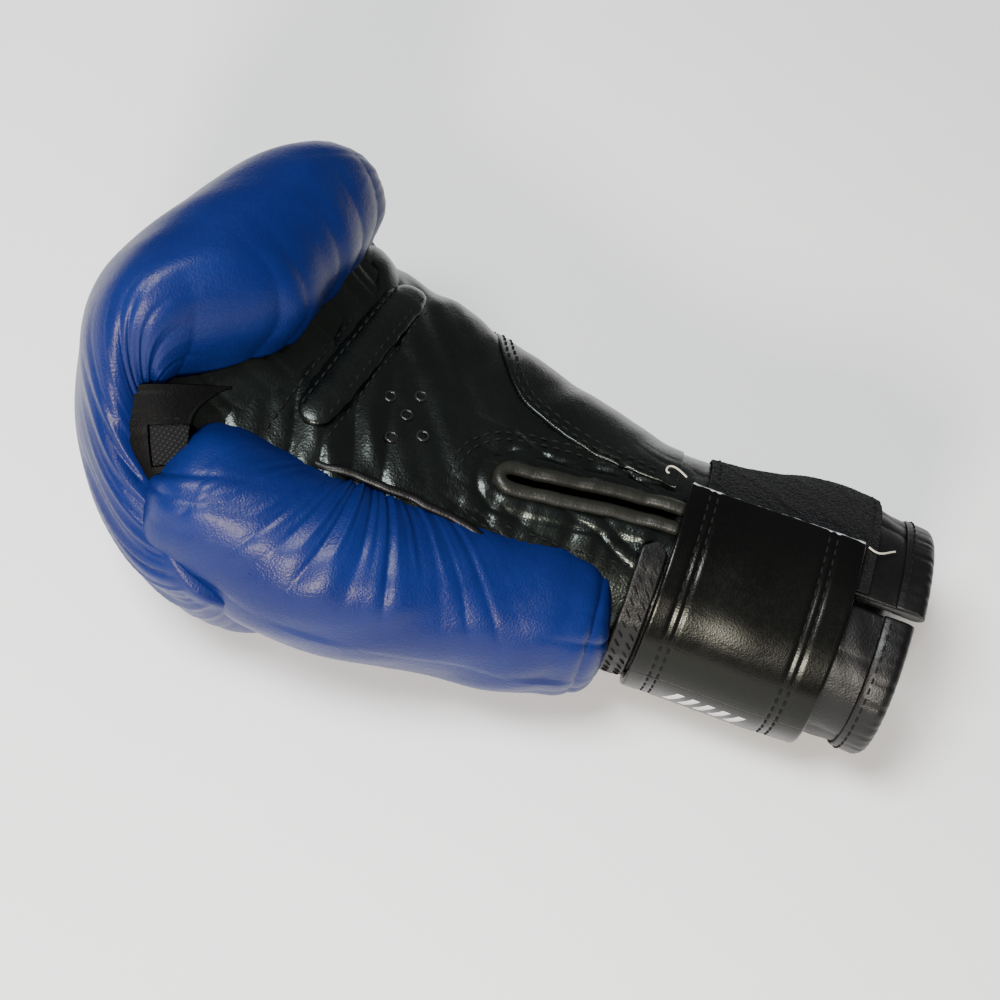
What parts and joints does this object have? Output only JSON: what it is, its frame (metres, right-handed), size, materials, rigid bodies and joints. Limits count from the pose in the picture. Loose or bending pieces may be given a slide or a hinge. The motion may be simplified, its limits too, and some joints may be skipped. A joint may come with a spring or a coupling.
{
  "type": "boxing glove",
  "caption": "Left-hand padded boxing glove with curled fist, attached thumb, vented palm, split cuff and a wrap-over hook-and-loop wrist strap.",
  "frame": {"origin": "middle of the base the glove lies on, back of the hand down", "axes": "+X from the cuff towards the knuckles, +Y towards the thumb, +Z out of the palm"},
  "size_m": [0.2806, 0.1552, 0.1185],
  "materials": {
    "fist_cover": "glossy coated leather, fine grain",
    "fist_foam": "moulded open-cell padding",
    "finger_liner": "woven cloth lining",
    "crease_panel": "glossy coated leather, fine grain",
    "back_cover": "glossy coated leather, fine grain",
    "back_foam": "moulded open-cell padding",
    "palm_panel": "glossy coated leather, fine grain",
    "pinky_side_panel": "glossy coated leather, fine grain",
    "palm_pad": "moulded open-cell padding",
    "hand_liner": "woven cloth lining",
    "grip_bar": "glossy coated leather, fine grain",
    "slit_binding": "glossy coated leather, fine grain",
    "thumb_welt": "glossy coated leather, fine grain",
    "thumb_cover": "glossy coated leather, fine grain",
    "thumb_foam": "moulded open-cell padding",
    "thumb_liner": "woven cloth lining",
    "vent_eyelet_1": "black enamelled ring",
    "vent_eyelet_2": "black enamelled ring",
    "vent_eyelet_3": "black enamelled ring",
    "vent_eyelet_4": "black enamelled ring",
    "vent_eyelet_5": "black enamelled ring",
    "thumb_tab": "glossy coated leather, fine grain",
    "thumb_web": "open mesh",
    "cuff_wall": "glossy coated leather, fine grain",
    "cuff_wall_liner": "woven cloth lining",
    "cuff_wall_binding": "glossy coated leather, fine grain",
    "pinky_flap": "glossy coated leather, fine grain",
    "pinky_flap_liner": "woven cloth lining",
    "pinky_flap_binding": "glossy coated leather, fine grain",
    "loop_panel": "brushed loop pile",
    "hook_panel": "moulded hooks",
    "strap_tip": "glossy coated leather, fine grain",
    "strap_side": "glossy coated leather, fine grain",
    "strap_root": "glossy coated leather, fine grain",
    "cuff_front_band": "glossy coated leather, fine grain"
  },
  "bodies": {
    "hand": {"back_cover": "back_cover", "back_foam": "back_foam", "palm_panel": "palm_panel", "pinky_side_panel": "pinky_side_panel", "palm_pad": "palm_pad", "hand_liner": "hand_liner", "grip_bar": "grip_bar", "slit_binding": "slit_binding", "thumb_welt": "thumb_welt", "vent_eyelet_1": "vent_eyelet_1", "vent_eyelet_2": "vent_eyelet_2", "vent_eyelet_3": "vent_eyelet_3", "vent_eyelet_4": "vent_eyelet_4", "vent_eyelet_5": "vent_eyelet_5", "cuff_wall": "cuff_wall", "cuff_wall_liner": "cuff_wall_liner", "cuff_wall_binding": "cuff_wall_binding", "strap_root": "strap_root", "cuff_front_band": "cuff_front_band"},
    "fingers": {"fist_cover": "fist_cover", "fist_foam": "fist_foam", "finger_liner": "finger_liner", "crease_panel": "crease_panel", "thumb_tab": "thumb_tab", "thumb_web": "thumb_web"},
    "thumb": {"thumb_cover": "thumb_cover", "thumb_foam": "thumb_foam", "thumb_liner": "thumb_liner"},
    "flap": {"pinky_flap": "pinky_flap", "pinky_flap_liner": "pinky_flap_liner", "pinky_flap_binding": "pinky_flap_binding", "loop_panel": "loop_panel"},
    "strap": {"strap_side": "strap_side"},
    "strap_end": {"strap_tip": "strap_tip", "hook_panel": "hook_panel"}
  },
  "joints": [
    {"name": "finger_flex", "type": "hinge", "parent": "hand", "child": "fingers", "pos_m": [0.07366, 0.0005, 0], "axis": [0.2607, 0.9654, 0], "range_deg": [0, 8], "stiffness_Nm_per_rad": 6},
    {"name": "thumb_flex", "type": "hinge", "parent": "hand", "child": "thumb", "pos_m": [-0.04034, 0.0305, 0.0372], "axis": [0, -0.6, 0.8], "range_deg": [0, 4.8], "stiffness_Nm_per_rad": 3},
    {"name": "strap_swing", "type": "hinge", "parent": "hand", "child": "strap", "pos_m": [-0.08434, 0.03532, 0.0135], "axis": [-1, 0, 0], "range_deg": [0, 40]},
    {"name": "strap_peel", "type": "hinge", "parent": "strap", "child": "strap_end", "pos_m": [-0.08434, 0.03576, 0.05661], "axis": [-1, 0, 0], "range_deg": [0, 110]},
    {"name": "flap_open", "type": "hinge", "parent": "hand", "child": "flap", "pos_m": [-0.09534, -0.0368, 0.02364], "axis": [1, 0, 0], "range_deg": [0, 16.5]}
  ],
  "couplings": [
    {"joint": "thumb_flex", "follows": "finger_flex", "ratio": 0.6},
    {"joint": "flap_open", "follows": "strap_peel", "ratio": 0.15}
  ]
}
